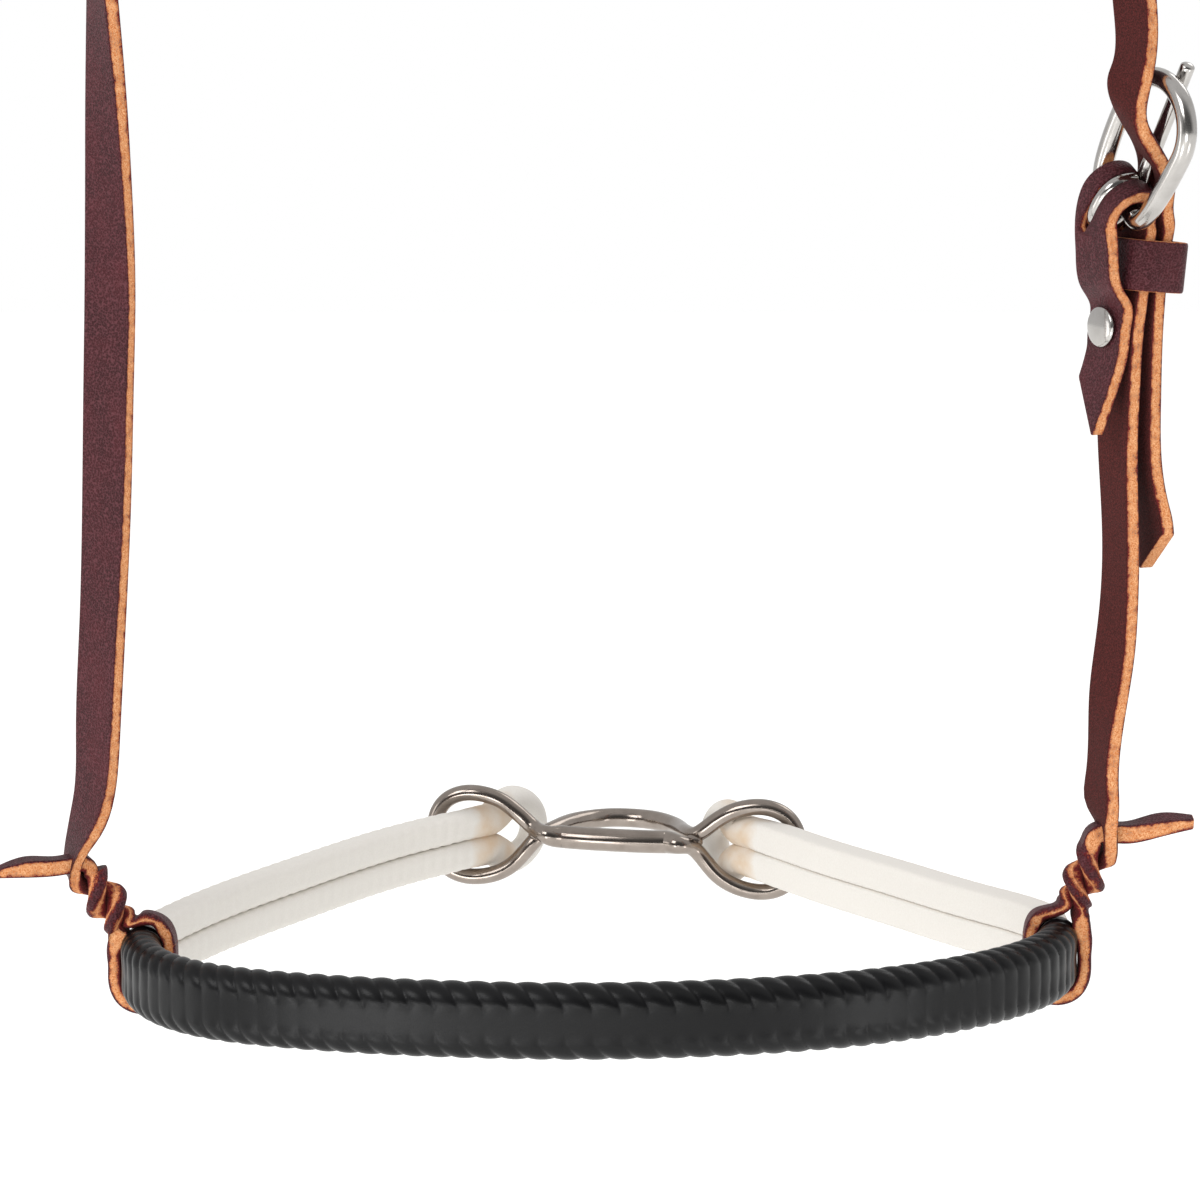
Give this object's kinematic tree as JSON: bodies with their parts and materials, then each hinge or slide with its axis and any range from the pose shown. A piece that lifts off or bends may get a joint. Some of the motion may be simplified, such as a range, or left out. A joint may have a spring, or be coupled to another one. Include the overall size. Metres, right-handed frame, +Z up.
{
  "type": "rope noseband",
  "caption": "Double rope noseband under a smooth black cover, with a wire chin fitting and tie-down ring, hung from a knotted leather crown strap with a buckle.",
  "frame": {"origin": "underside of the crown strap's flat top, where it lies on the poll", "axes": "+Z up, +Y from the nose to the chin, +X towards the buckled cheek"},
  "size_m": [0.2868, 0.2121, 0.488],
  "materials": {
    "rope": "white synthetic rope",
    "cover": "smooth black, slightly glossy",
    "latigo": "burgundy latigo with raw orange-tan edges",
    "nickel": "nickel plate"
  },
  "bodies": {
    "headstall": {"crown_strap": "latigo", "hanger_strap": "latigo", "rivet_cap": "nickel", "rivet_post": "nickel"},
    "noseband": {"nose_rope": "rope", "nose_cover": "cover"},
    "chin": {"chin_fitting": "nickel"},
    "keeper": {"keeper": "latigo"},
    "buckle": {"buckle_frame": "nickel"},
    "tongue": {"buckle_tongue": "nickel"}
  },
  "joints": [
    {"name": "noseband_tilt", "type": "hinge", "parent": "headstall", "child": "noseband", "pos_m": [0.0005, 0, -0.47], "axis": [0.9994, 0.0359, 0], "range_deg": [-8, 8]},
    {"name": "chin_fitting_tilt", "type": "hinge", "parent": "noseband", "child": "chin", "pos_m": [0.0042, 0.1225, -0.4698], "axis": [0.9848, -0.1736, 0], "range_deg": [-4, 4]},
    {"name": "keeper_slide", "type": "slide", "parent": "headstall", "child": "keeper", "axis": [0.115, 0.035, 0.9927], "range_m": [-0.0008, 0.002]},
    {"name": "buckle_swing", "type": "hinge", "parent": "headstall", "child": "buckle", "pos_m": [0.1222, -0.00147, -0.2866], "axis": [0.4096, -0.7094, -0.5736], "range_deg": [-1.5, 1.5]},
    {"name": "tongue_swing", "type": "hinge", "parent": "buckle", "child": "tongue", "pos_m": [0.1222, -0.00147, -0.2866], "axis": [-0.4096, 0.7094, 0.5736], "range_deg": [0, 2]}
  ]
}
